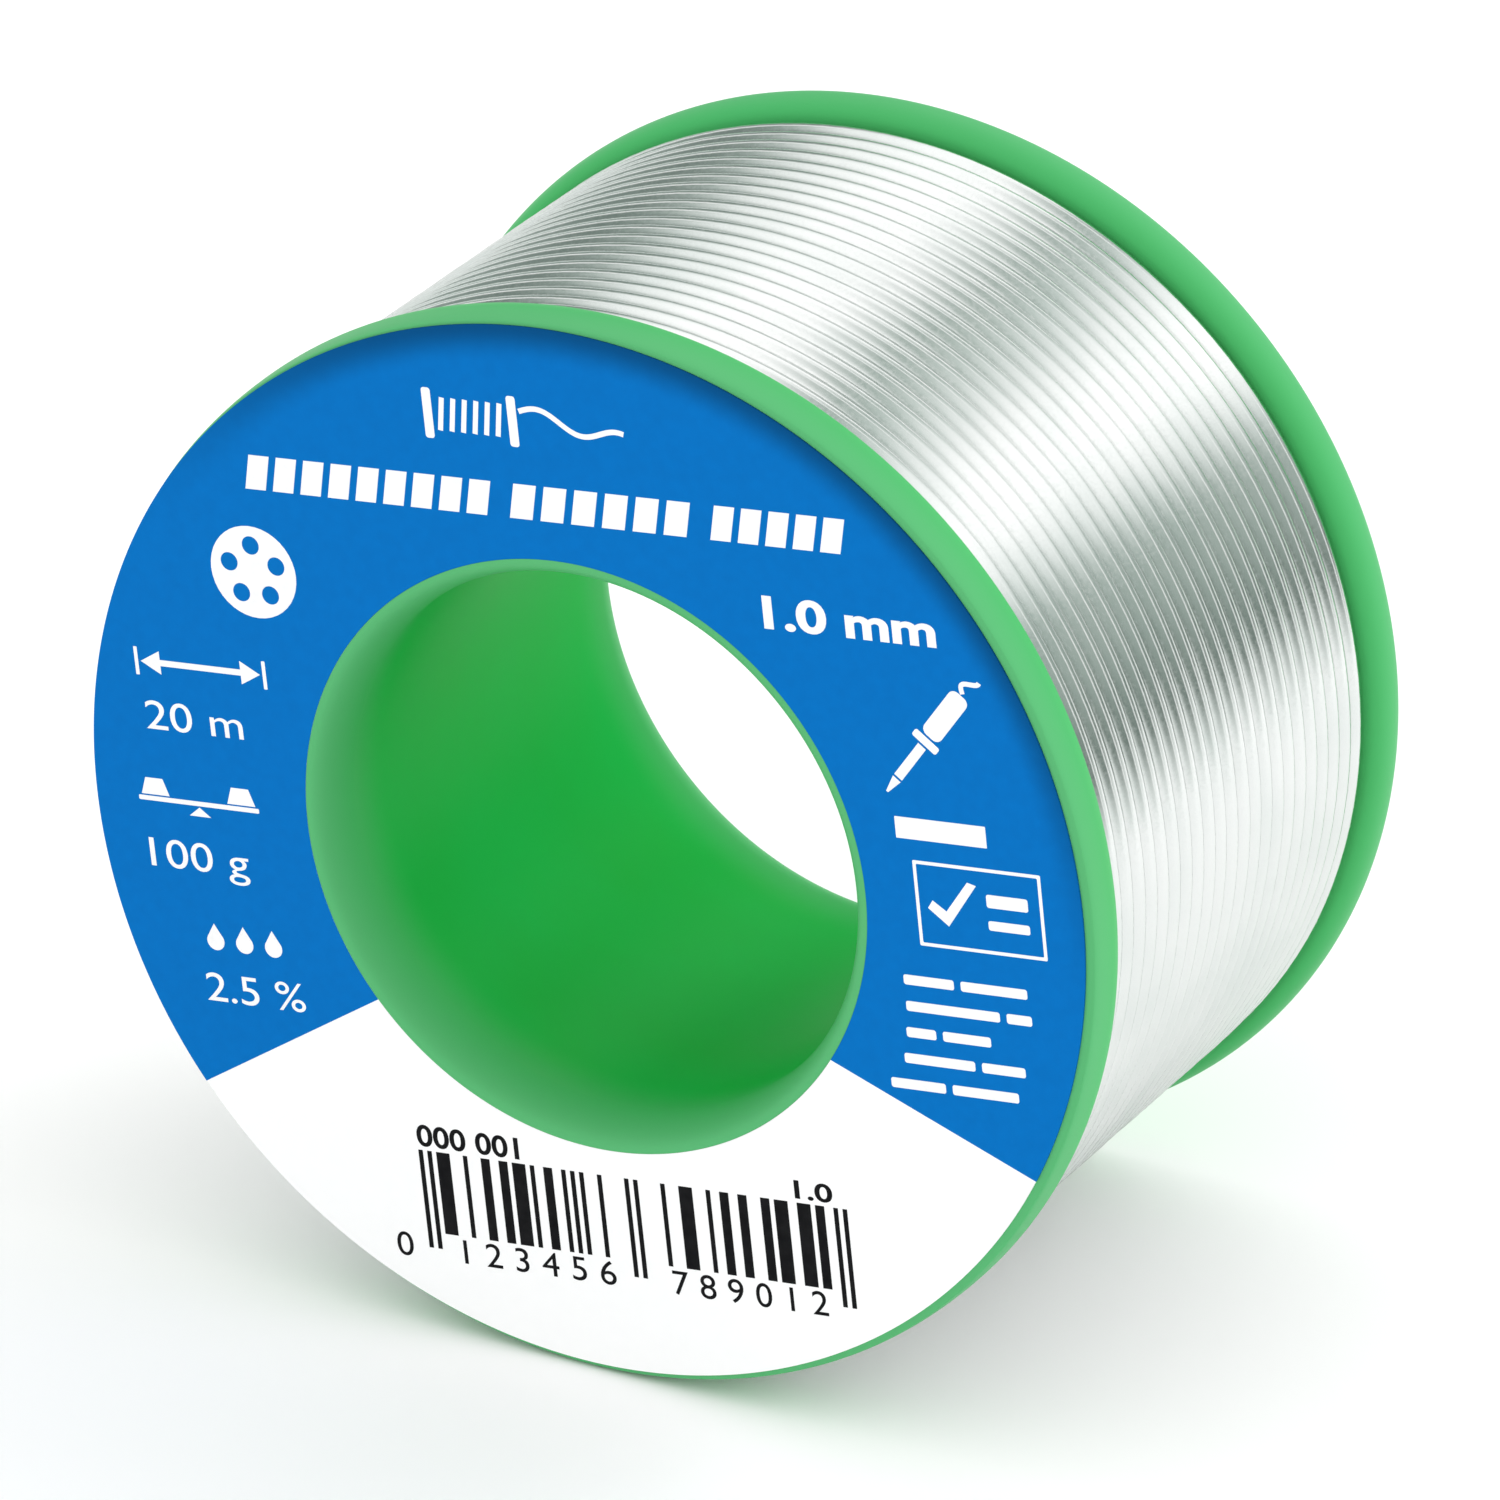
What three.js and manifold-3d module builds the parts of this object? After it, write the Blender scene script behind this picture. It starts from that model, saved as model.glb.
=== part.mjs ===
// A 45 mm spool of 1.0 mm solder wire, standing on the edges of its two flanges.
// Millimetres, +Z up. The spool's axis runs along Y: the labelled front is at -Y, the rear at +Y.
// The origin is on the ground, midway between the flanges and straight under the axis.
//
// The spool is two mouldings. The body is the barrel with the rear flange. The front flange is a
// disc with a thicker rim. It is pushed on to a spigot at the barrel's narrow end, and the label
// hides the seam.
// The wire is one strand in eight layers, each drawn here as the ring that its turns fill. Its two
// ends turn out through a slot by the barrel and a notch in the rear rim, and are cut off there.

import * as THREE from 'three';
import { mergeVertices } from 'three/addons/utils/BufferGeometryUtils.js';
import Module from 'manifold-3d';

const wasm = await Module();
wasm.setup();

// Driving dimensions.
const RIM_R = 22.5; // outside of both flanges
const WIDTH = 27; // front plane to rear plane
const RIM_THICK = 1.9; // a flange at its edge
const FRONT_CORNER = 0.15; // rounding of the front flange's outward edge
const REAR_CORNER = 0.5; // rounding of the rear flange's outward edge
const INNER_CORNER = 0.7; // rounding of the rear flange's edge that faces the wire
const BEAD_OVERHANG = 0.4; // the front rim is thicker than its flange, and reaches over the winding
const BEAD_TALL = 0.6;
const BEAD_CORNER = 0.35;
const FIT_GAP = 0.1; // between parts that fit together

// The wire and its winding.
const WIRE_D = 1.0;
const LAYERS = 8;
const LAYER_STEP = 0.87; // each layer nests in the grooves of the one below
const MOST_TURNS = 23; // in an even layer; an odd one has a turn less
const TAIL_TOP_GAP = 0.4; // a cut wire end stops this far below the rear plane

// The bore widens towards the rear, the way its core pin was drawn out.
const BORE_FRONT_R = 11.6;
const BORE_REAR_R = 13.1;
const FRONT_LIP = 0.85; // rounding at the front mouth of the bore
const REAR_FLARE = 2.4; // rounding at the rear mouth
const COLLAR_LAND = 0.4; // flat ring round the rear mouth

// The recess in the rear flange.
const REAR_RECESS = 0.8;
const REAR_RIM_WIDE = 2.2;
const DRAFT = 0.1; // how far a recess wall leans over its depth

// The label on the front flange. Its hole is true to the bore, and its outline a little off to one side.
const LABEL_THICK = 0.12;
const LABEL_R = 22.2;
const LABEL_OFF_X = -0.18;
const LABEL_HOLE_GAP = 0.05; // beyond the hole in the flange

// The slot and the notch for the wire ends, as angles round the axis from the top towards +X.
const SLOT_LONG = 3.4;
const SLOT_WIDE = 1.6;
const SLOT_OVERCUT = 0.2; // how far a cut runs on past the face that it opens into
const START_ANGLE = THREE.MathUtils.degToRad(130);
const END_ANGLE = THREE.MathUtils.degToRad(230);
const TAIL_FROM = THREE.MathUtils.degToRad(62); // how far round its bend a tail leaves the winding

const RIM_FACETS = 72;
const LAYER_FACETS = 48;
const TAIL_SIDES = 8;
const TAIL_STEPS = 4;

// Worked out from the driving dimensions.
const FRONT_Y = -WIDTH / 2;
const REAR_Y = WIDTH / 2;
const INNER_Y = REAR_Y - RIM_THICK; // the faces that the winding lies between
const WIRE_R = WIRE_D / 2;
const FLANGE_FACE_Y = FRONT_Y + LABEL_THICK;
const SPIGOT_R = BORE_FRONT_R + FRONT_LIP;
const COLLAR_R = BORE_REAR_R + REAR_FLARE + COLLAR_LAND;
const TOP_LAYER_R = 21.3; // centreline of the outermost turns
const FIRST_LAYER_R = TOP_LAYER_R - (LAYERS - 1) * LAYER_STEP;
const BARREL_R = FIRST_LAYER_R - WIRE_R;

const GREEN = { color: 0x1ea652, roughness: 0.35, metalness: 0 };
const LABEL_BLUE = { color: 0x0073c6, roughness: 0.5, metalness: 0 };
const SOLDER = { color: 0xc9cfce, roughness: 0.3, metalness: 1 };

// Points on an arc, in a profile's own axes of radius and Y. Angles are in degrees.
function arc(r, y, radius, from, to, steps) {
  const points = [];
  for (let i = 0; i <= steps; i++) {
    const a = THREE.MathUtils.degToRad(from + ((to - from) * i) / steps);
    points.push([r + radius * Math.cos(a), y + radius * Math.sin(a)]);
  }
  return points;
}

// Turns a closed profile round the Y axis. The round is faceted, and the middle of each facet is at
// the nominal radius, with one facet flat on the ground.
function turned(profile, facets) {
  const grow = 1 / Math.cos(Math.PI / facets);
  const points = profile.map(([r, y]) => new THREE.Vector2(r * grow, y));
  points.push(points[0].clone());
  return new THREE.LatheGeometry(points, facets, Math.PI / facets);
}

function toManifold(geometry) {
  const bare = geometry.clone();
  bare.deleteAttribute('normal');
  bare.deleteAttribute('uv');
  const merged = mergeVertices(bare, 1e-4);
  return new wasm.Manifold(new wasm.Mesh({
    numProp: 3,
    vertProperties: new Float32Array(merged.attributes.position.array),
    triVerts: new Uint32Array(merged.index.array),
  }));
}

function fromManifold(solid) {
  const { vertProperties, triVerts } = solid.getMesh();
  const geometry = new THREE.BufferGeometry();
  geometry.setAttribute('position', new THREE.BufferAttribute(vertProperties, 3));
  geometry.setIndex(new THREE.BufferAttribute(triVerts, 1));
  geometry.computeVertexNormals();
  return geometry;
}

function ringProfile(innerR, outerR, lowY, highY) {
  return [[outerR, lowY], [outerR, highY], [innerR, highY], [innerR, lowY]];
}

// Barrel, spigot and rear flange in one. The profile runs up the outside and back down the bore.
function bodyProfile() {
  const flareY = REAR_Y - REAR_FLARE;
  const flareR = BORE_REAR_R + REAR_FLARE;
  const floorY = REAR_Y - REAR_RECESS;
  const rimInnerR = RIM_R - REAR_RIM_WIDE;
  return [
    [SPIGOT_R, -INNER_Y],
    [BARREL_R, -INNER_Y],
    [BARREL_R, INNER_Y],
    ...arc(RIM_R - INNER_CORNER, INNER_Y + INNER_CORNER, INNER_CORNER, -90, 0, 3),
    ...arc(RIM_R - REAR_CORNER, REAR_Y - REAR_CORNER, REAR_CORNER, 0, 90, 3),
    [rimInnerR, REAR_Y],
    [rimInnerR - DRAFT, floorY],
    [COLLAR_R + DRAFT, floorY],
    [COLLAR_R, REAR_Y],
    ...arc(flareR, flareY, REAR_FLARE, 90, 180, 5),
    ...arc(SPIGOT_R, FRONT_Y + FRONT_LIP, FRONT_LIP, 180, 270, 4),
  ];
}

// A block that runs along the rim's direction at an angle, from one radius to another, through the
// rear flange. It is what the slot and the notch are cut with.
function slotCutter(angle, innerR, outerR) {
  const lowY = INNER_Y - SLOT_OVERCUT;
  const highY = REAR_Y + SLOT_OVERCUT;
  const block = new THREE.BoxGeometry(SLOT_LONG, highY - lowY, outerR - innerR);
  block.translate(0, (lowY + highY) / 2, (innerR + outerR) / 2);
  block.rotateY(angle);
  return toManifold(block);
}

function spoolBody() {
  const start = slotCutter(START_ANGLE, FIRST_LAYER_R - SLOT_WIDE / 2, FIRST_LAYER_R + SLOT_WIDE / 2);
  const end = slotCutter(END_ANGLE, RIM_R - REAR_RIM_WIDE - 2 * SLOT_OVERCUT, RIM_R + SLOT_OVERCUT);
  return fromManifold(toManifold(turned(bodyProfile(), RIM_FACETS)).subtract(start).subtract(end));
}

function frontFlange() {
  const holeR = SPIGOT_R + FIT_GAP;
  const beadY = -INNER_Y + BEAD_OVERHANG;
  return turned([
    ...arc(RIM_R - FRONT_CORNER, FLANGE_FACE_Y + FRONT_CORNER, FRONT_CORNER, 270, 360, 3),
    ...arc(RIM_R - BEAD_CORNER, beadY - BEAD_CORNER, BEAD_CORNER, 0, 90, 3),
    [RIM_R - BEAD_TALL, beadY],
    [RIM_R - BEAD_TALL, -INNER_Y],
    [holeR, -INNER_Y],
    [holeR, FLANGE_FACE_Y],
  ], RIM_FACETS);
}

function circlePoints(centreX, radius) {
  return Array.from({ length: RIM_FACETS }, (_, i) => {
    const a = (2 * Math.PI * i) / RIM_FACETS;
    return new THREE.Vector2(centreX + radius * Math.cos(a), radius * Math.sin(a));
  });
}

function label() {
  const outline = new THREE.Shape(circlePoints(LABEL_OFF_X, LABEL_R));
  outline.holes.push(new THREE.Path(circlePoints(0, SPIGOT_R + FIT_GAP + LABEL_HOLE_GAP)));
  const sheet = new THREE.ExtrudeGeometry(outline, { depth: LABEL_THICK, bevelEnabled: false });
  sheet.rotateX(Math.PI / 2);
  sheet.translate(0, FLANGE_FACE_Y, 0);
  return sheet;
}

function layerRadius(layer) {
  return FIRST_LAYER_R + (layer - 1) * LAYER_STEP;
}

function layerHalfWidth(layer) {
  const turns = layer % 2 === 0 ? MOST_TURNS : MOST_TURNS - 1;
  return (turns * WIRE_D) / 2;
}

// The ring that one layer fills. Layers keep a gap, and the outermost reaches the wire's own top.
function wireLayer(layer) {
  const middle = layerRadius(layer);
  const outermost = layer === LAYERS;
  const innerR = middle - LAYER_STEP / 2 + FIT_GAP / 2;
  const outerR = outermost ? middle + WIRE_R : middle + LAYER_STEP / 2 - FIT_GAP / 2;
  const half = layerHalfWidth(layer);
  return turned(ringProfile(innerR, outerR, -half, half), outermost ? RIM_FACETS : LAYER_FACETS);
}

// The end of the wire where it has left the winding: the last part of a quarter bend from along the
// turns to straight out at the rear. bendWay is 1 where it bends towards larger angles.
function wireTail(layer, angle, bendWay) {
  const turnY = layerHalfWidth(layer) - WIRE_R;
  const topY = REAR_Y - TAIL_TOP_GAP;
  const bend = topY - turnY;
  const path = new THREE.CurvePath();
  const step = (Math.PI / 2 - TAIL_FROM) / TAIL_STEPS;
  const at = (i) => {
    const a = TAIL_FROM + step * i;
    return new THREE.Vector3(bendWay * bend * (Math.sin(a) - 1), turnY + bend * (1 - Math.cos(a)), 0);
  };
  for (let i = 0; i < TAIL_STEPS; i++) {
    path.add(new THREE.LineCurve3(at(i), at(i + 1)));
  }
  const section = new THREE.Shape(
    Array.from({ length: TAIL_SIDES }, (_, i) => new THREE.Vector2(
      WIRE_R * Math.cos((2 * Math.PI * i) / TAIL_SIDES),
      WIRE_R * Math.sin((2 * Math.PI * i) / TAIL_SIDES),
    )),
  );
  const tube = new THREE.ExtrudeGeometry(section, { steps: TAIL_STEPS, extrudePath: path });
  tube.translate(0, 0, layerRadius(layer));
  tube.rotateY(angle);
  return tube;
}

const spool = new THREE.Group();
spool.position.z = RIM_R;

function add(name, geometry, finish) {
  const mesh = new THREE.Mesh(geometry, new THREE.MeshStandardMaterial(finish));
  mesh.name = name;
  spool.add(mesh);
}

add('spool_body', spoolBody(), GREEN);
add('front_flange', frontFlange(), GREEN);
add('front_label', label(), LABEL_BLUE);
for (let layer = 1; layer <= LAYERS; layer++) {
  add(`wire_layer_${layer}`, wireLayer(layer), SOLDER);
}
add('wire_start_tail', wireTail(1, START_ANGLE, 1), SOLDER);
add('wire_end_tail', wireTail(LAYERS, END_ANGLE, -1), SOLDER);

export default spool;
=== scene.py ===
# A small green spool of 1.0 mm solder wire, standing on the edges of its flanges.
# Lengths in the constants are in millimetres, and every mesh is made in millimetres round the
# spool's own axis, then put in place by to_frame(). The axis is along Y, with the label at -Y.
import math

import bmesh
import bpy
import numpy as np
from mathutils import Matrix, Vector


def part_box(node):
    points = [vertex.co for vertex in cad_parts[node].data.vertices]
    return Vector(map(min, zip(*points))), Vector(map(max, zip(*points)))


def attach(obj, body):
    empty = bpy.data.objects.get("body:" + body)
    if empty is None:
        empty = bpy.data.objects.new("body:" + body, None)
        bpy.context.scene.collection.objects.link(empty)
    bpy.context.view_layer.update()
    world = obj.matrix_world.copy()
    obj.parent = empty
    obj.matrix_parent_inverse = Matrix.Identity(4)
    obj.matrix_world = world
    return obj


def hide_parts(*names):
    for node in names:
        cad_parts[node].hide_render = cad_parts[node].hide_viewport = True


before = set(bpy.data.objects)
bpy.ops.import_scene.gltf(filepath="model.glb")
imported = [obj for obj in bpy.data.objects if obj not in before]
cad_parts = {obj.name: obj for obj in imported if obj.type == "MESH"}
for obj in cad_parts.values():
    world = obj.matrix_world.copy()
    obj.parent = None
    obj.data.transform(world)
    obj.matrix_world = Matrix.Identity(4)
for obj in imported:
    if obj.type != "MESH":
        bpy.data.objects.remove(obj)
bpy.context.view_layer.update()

MM = 0.001
BODY = "root"
BODY_LOW, BODY_HIGH = (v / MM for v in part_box("spool_body"))
FLANGE_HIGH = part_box("front_flange")[1] / MM
LABEL_LOW, LABEL_HIGH = (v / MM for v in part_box("front_label"))
TOP_LAYER_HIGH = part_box("wire_layer_8")[1] / MM

# The spool's main sizes, read off the frame.
AXIS_Z = (BODY_LOW.z + BODY_HIGH.z) / 2
RIM_R = BODY_HIGH.z - AXIS_Z
FRONT_Y = BODY_LOW.y
REAR_Y = BODY_HIGH.y
LABEL_R = (LABEL_HIGH.x - LABEL_LOW.x) / 2
LABEL_OFF_X = (LABEL_HIGH.x + LABEL_LOW.x) / 2
LABEL_Y = LABEL_LOW.y             # the printed face
LABEL_BACK_Y = LABEL_HIGH.y

# Roundings, the bore and the front rim's bead, as the CAD model has them.
FRONT_CORNER = 0.15
REAR_CORNER = 0.5
INNER_CORNER = 0.7
BEAD_OVERHANG = 0.4
BEAD_TALL = 0.6
BEAD_CORNER = 0.35
INNER_Y = BEAD_OVERHANG - FLANGE_HIGH.y   # the winding lies between -INNER_Y and INNER_Y
BORE_FRONT_R = 11.6
BORE_REAR_R = 13.1
FRONT_LIP = 0.85
REAR_FLARE = 2.4
SPIGOT_R = BORE_FRONT_R + FRONT_LIP
COLLAR_WIDE = 0.4
COLLAR_R = BORE_REAR_R + REAR_FLARE + COLLAR_WIDE
REAR_RECESS = 0.8
REAR_RIM_WIDE = 2.2

# What only the fine model has.
OUTER_CROWN = 0.8                 # the rear rim's edge is rounded off this deep from the outside
INNER_CROWN = 1.1                 # and this deep from the wire's side, so that the two meet
FRONT_CROWN = 1.3                 # and the same for the front rim
BEAD_CROWN = 0.85
LIP_DEPTH = 2.2                   # how far the front lip's rounding runs into the bore
LIP_R = SPIGOT_R + 0.12           # the lip is rolled out over the front flange's hole
SMALL_ROUND = 0.12
SEAM_GAP = 0.04
HAIR = 0.01                       # the gap that keeps two touching pieces apart
SLOT_LONG = 3.4
SLOT_WIDE = 1.6
NOTCH_PAST = 0.4                  # the notch in the rear rim runs this far in over the recess
EJECTOR_R = 0.8
EJECTOR_DEEP = 0.08
EJECTOR_ANGLES = (0, 60, 180, 300)
CUT_PAST = 0.2                    # a cutter runs this far past what it cuts
SHEEN_PAINTED_FROM = 8.6                   # the painted sheen makes the plastic paler from this far off the middle
AROUND = 288                      # faces round the spool

# The wire.
WIRE_R = 0.5
LAYERS = 8
LAYER_STEP = 0.87
TOP_R = TOP_LAYER_HIGH.x - WIRE_R
FIRST_R = TOP_R - (LAYERS - 1) * LAYER_STEP
PITCH = 2 * WIRE_R
MOST_TURNS = 23                   # in an even layer; an odd one has a turn less
START_ANGLE = math.radians(130)
END_ANGLE = math.radians(230)
STEP_FROM = math.radians(202)     # every turn steps over to the next between these two angles
STEP_TO = math.radians(158)
TAIL_TOP_Y = REAR_Y - 0.4         # the two cut ends stay within the spool's width
LOOSE = 0.045                     # a turn of the outermost layer wanders up to this far
LEAN = 0.02                       # and lies up to this far to one side
WIRE_SIDES = 14
FINE_STEPS = 144                  # points on a turn of the outermost layer
PLAIN_STEPS = 24                  # points on a hidden turn


# ---------------------------------------------------------------- camera

def make_camera():
    """Looks at the spool from its front right, 25 degrees above it, through a long lens."""
    azimuth = math.radians(28.67)
    elevation = math.radians(25.315)
    from_label = Vector((9.24653, -16.30619, 9.07550)) * RIM_R    # from the middle of the label
    data = bpy.data.cameras.new("camera")
    data.sensor_width = 36
    data.lens = 288
    data.clip_start = 0.01
    camera = bpy.data.objects.new("camera", data)
    camera.location = (from_label + Vector((0, FRONT_Y, AXIS_Z))) * MM
    camera.rotation_euler = (math.pi / 2 - elevation, 0, azimuth)
    bpy.context.scene.collection.objects.link(camera)
    bpy.context.scene.camera = camera


make_camera()


# ---------------------------------------------------------------- helpers

def new_material(name):
    """A material with a Principled shader: (material, its node tree, the shader)."""
    material = bpy.data.materials.new(name)
    material.use_nodes = True
    tree = material.node_tree
    return material, tree, tree.nodes["Principled BSDF"]


def connect(tree, node, inputs):
    """Gives each of the node's inputs named another node's output, or a plain value."""
    for key, value in inputs.items():
        if isinstance(value, bpy.types.NodeSocket):
            tree.links.new(value, node.inputs[key])
        else:
            node.inputs[key].default_value = value


def add(tree, kind, output, inputs, **settings):
    """Adds a shader node and returns one of its outputs."""
    node = tree.nodes.new("ShaderNode" + kind)
    for name, setting in settings.items():
        setattr(node, name, setting)
    connect(tree, node, inputs)
    return node.outputs[output]


def coordinates(tree, kind="Object"):
    return add(tree, "TexCoord", kind, {})


def noise(tree, vector, scale, detail=2.0):
    return add(tree, "TexNoise", "Fac", {"Vector": vector, "Scale": scale, "Detail": detail})


def maths(tree, operation, *values):
    return add(tree, "Math", "Value", dict(enumerate(values)), operation=operation)


def vector_maths(tree, operation, output, *values):
    return add(tree, "VectorMath", output, dict(enumerate(values)), operation=operation)


def ranged(tree, value, onto=(0.0, 1.0), out_of=(0.0, 1.0), kind="LINEAR"):
    """The value carried from one range onto another, and kept within that."""
    ends = {"From Min": out_of[0], "From Max": out_of[1], "To Min": onto[0], "To Max": onto[1]}
    return add(tree, "MapRange", "Result", {"Value": value, **ends}, interpolation_type=kind)


def ramp(tree, value, stops):
    """The colour at the value, between stops of (position, colour)."""
    node = tree.nodes.new("ShaderNodeValToRGB")
    elements = node.color_ramp.elements
    while len(elements) < len(stops):
        elements.new(0.5)
    for element, (position, colour) in zip(elements, stops):
        element.position = position
        element.color = (*colour, 1)
    tree.links.new(value, node.inputs["Fac"])
    return node.outputs["Color"]


def mixed(tree, factor, first, second, blend="MIX"):
    """The first colour at factor 0, and at factor 1 the second laid over it."""
    inputs = {"Factor": factor, "A": first, "B": second}
    return add(tree, "Mix", "Result", inputs, data_type="RGBA", blend_type=blend)


def bump(tree, height, strength, distance, **normal):
    """A normal bumped over a distance in millimetres. Normal can give one to bump further."""
    inputs = {"Height": height, "Strength": strength, "Distance": distance * MM, **normal}
    return add(tree, "Bump", "Normal", inputs)


def to_frame(mesh):
    """Takes a mesh from millimetres round the spool's axis to metres in the frame."""
    mesh.transform(Matrix.Translation((0, 0, AXIS_Z * MM)) @ Matrix.Scale(MM, 4))


def piece(name, mesh, material, slot, *nodes):
    """A finished piece that rides on the spool and stands for the CAD nodes named."""
    obj = bpy.data.objects.new(name, mesh)
    bpy.context.scene.collection.objects.link(obj)
    mesh.materials.clear()
    mesh.materials.append(material)
    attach(obj, BODY)
    if nodes:
        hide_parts(*nodes)
    return obj


def arc(r, y, radius, start, end, steps=8, deep=None):
    """Points on a profile's arc, from one angle in degrees to another. deep is its size along Y."""
    deep = radius if deep is None else deep
    angles = np.radians(np.linspace(start, end, steps + 1))
    return [(r + radius * math.cos(a), y + deep * math.sin(a)) for a in angles]


def straight(start, end, steps):
    """Points evenly between two points of a profile, without the two."""
    shares = [k / steps for k in range(1, steps)]
    return [tuple(a + (b - a) * share for a, b in zip(start, end)) for share in shares]


def turned(name, profile, around=AROUND):
    """A closed solid of revolution about the Y axis, from a closed profile of (radius, y)."""
    rings = len(profile)
    angles = np.arange(around) * 2 * math.pi / around
    verts = [(r * math.sin(a), y, r * math.cos(a)) for a in angles for r, y in profile]
    faces = []
    for i in range(around):
        here = i * rings
        there = ((i + 1) % around) * rings
        for j in range(rings):
            k = (j + 1) % rings
            faces.append((here + j, there + j, there + k, here + k))
    mesh = bpy.data.meshes.new(name)
    mesh.from_pydata(verts, [], faces)
    face_outward(mesh)
    smooth(mesh)
    return mesh


def face_outward(mesh):
    made = bmesh.new()
    made.from_mesh(mesh)
    bmesh.ops.recalc_face_normals(made, faces=made.faces)
    made.to_mesh(mesh)
    made.free()


def smooth(mesh, sharp_above=35):
    mesh.polygons.foreach_set("use_smooth", [True] * len(mesh.polygons))
    mesh.set_sharp_from_angle(angle=math.radians(sharp_above))


def cut(mesh, cutters):
    """The mesh with the cutters' meshes taken out of it."""
    scene = bpy.context.scene.collection
    target = bpy.data.objects.new("cut_target", mesh)
    scene.objects.link(target)
    tools = []
    for cutter in cutters:
        tool = bpy.data.objects.new("cut_tool", cutter)
        scene.objects.link(tool)
        tools.append(tool)
        modifier = target.modifiers.new("cut", "BOOLEAN")
        modifier.operation = "DIFFERENCE"
        modifier.solver = "EXACT"
        modifier.object = tool
    depsgraph = bpy.context.evaluated_depsgraph_get()
    result = bpy.data.meshes.new_from_object(target.evaluated_get(depsgraph))
    for obj in [target, *tools]:
        bpy.data.objects.remove(obj)
    smooth(result)
    return result


# ---------------------------------------------------------------- the wire

def layer_radius(layer):
    return FIRST_R + (layer - 1) * LAYER_STEP


def turns_in(layer):
    return MOST_TURNS if layer % 2 == 0 else MOST_TURNS - 1


def turn_places():
    """Where each of the wire's turns lies, in the order they were wound: (layer, radius, y)."""
    places = []
    for layer in range(1, LAYERS + 1):
        towards = 1 if layer % 2 == 0 else -1
        count = turns_in(layer)
        for turn in range(count):
            y = towards * (turn - (count - 1) / 2) * PITCH
            places.append((layer, layer_radius(layer), y))
    return places


def ease(t):
    return t * t * (3 - 2 * t)


def wander(rng, waves):
    """A smooth wobble round a turn, as a function of the angle, between about -1 and 1."""
    terms = [(k, rng.uniform(0, 2 * math.pi), rng.uniform(0.4, 1) / len(waves)) for k in waves]
    return lambda a: sum(size * np.sin(k * a + phase) for k, phase, size in terms)


def winding_path():
    """The wire's centreline from its cut start at the rear, through every turn, to its cut end.

    The wire is wound towards smaller angles. On each turn it lies flat until STEP_FROM and is one
    turn further over, or one layer further out, by STEP_TO.
    """
    rng = np.random.default_rng(11)
    places = turn_places()
    flat = 2 * math.pi - (STEP_FROM - STEP_TO)
    bend = TAIL_TOP_Y - places[0][2]
    path = tail_points(START_ANGLE, places[0], bend)[::-1]
    angle = START_ANGLE - bend / places[0][1]
    for i, (layer, radius, y) in enumerate(places):
        steps = FINE_STEPS if layer == LAYERS else PLAIN_STEPS
        loose = LOOSE if layer == LAYERS else 0.0
        sideways = wander(rng, (1, 2, 3, 5))
        outward = wander(rng, (2, 3, 4, 7))
        lean = rng.uniform(-LEAN, LEAN) if layer == LAYERS else 0.0
        last = i == len(places) - 1
        stop = STEP_FROM - 2 * math.pi * (i + 1)
        if last:
            bend = TAIL_TOP_Y - y
            stop = END_ANGLE + bend / radius - 2 * math.pi * (i + 1)
        count = max(2, round(steps * abs(angle - stop) / (2 * math.pi)))
        for a in np.linspace(angle, stop, count, endpoint=False):
            room = min(1.0, abs(a - angle) * 4, abs(a - stop) * 4)
            path.append((radius - abs(loose * room * outward(a)), a,
                         y + room * (loose * sideways(a) + lean)))
        angle = stop
        if last:
            break
        over = STEP_FROM - STEP_TO
        next_r, next_y = places[i + 1][1:]
        count = max(4, round(steps * over / (2 * math.pi)))
        for t in np.linspace(0, 1, count, endpoint=False):
            share = ease(t)
            path.append((radius + (next_r - radius) * share, angle - over * t,
                         y + (next_y - y) * share))
        angle -= over
    path += tail_points(END_ANGLE - 2 * math.pi * len(places), places[-1], bend, way=-1)
    return np.array([(r * math.sin(a), y, r * math.cos(a)) for r, a, y in path])


def tail_points(angle, place, bend, way=1, steps=10):
    """A quarter bend from along the turns to straight out at the rear, tip last."""
    _, radius, y = place
    points = []
    for a in np.linspace(0, math.pi / 2, steps + 1):
        sideways = way * bend * (math.sin(a) - 1)
        points.append((radius, angle + sideways / radius, y + bend * (1 - math.cos(a))))
    return points


def tube(name, path, radius, sides):
    """A closed round tube along the path. It has a UV map: along the wire, and round it."""
    count = len(path)
    tangent = np.gradient(path, axis=0)
    tangent /= np.linalg.norm(tangent, axis=1)[:, None]
    outward = path * np.array([1.0, 0.0, 1.0])
    outward -= tangent * np.sum(outward * tangent, axis=1)[:, None]
    outward /= np.linalg.norm(outward, axis=1)[:, None]
    across = np.cross(tangent, outward)
    turn = np.arange(sides) * 2 * math.pi / sides
    ring = outward[:, None, :] * np.cos(turn)[None, :, None]
    ring = ring + across[:, None, :] * np.sin(turn)[None, :, None]
    verts = (path[:, None, :] + radius * ring).reshape(-1, 3)
    here = np.arange(count - 1)[:, None] * sides
    side = np.arange(sides)[None, :]
    after = (side + 1) % sides
    quads = np.stack([here + side, here + after, here + sides + after, here + sides + side], axis=2)
    faces = [tuple(q) for q in quads.reshape(-1, 4).tolist()]
    faces.append(tuple(range(sides))[::-1])
    faces.append(tuple((count - 1) * sides + k for k in range(sides)))
    mesh = bpy.data.meshes.new(name)
    mesh.from_pydata(verts.tolist(), [], faces)
    add_wire_uv(mesh, path, sides)
    smooth(mesh, 50)
    return mesh


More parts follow.
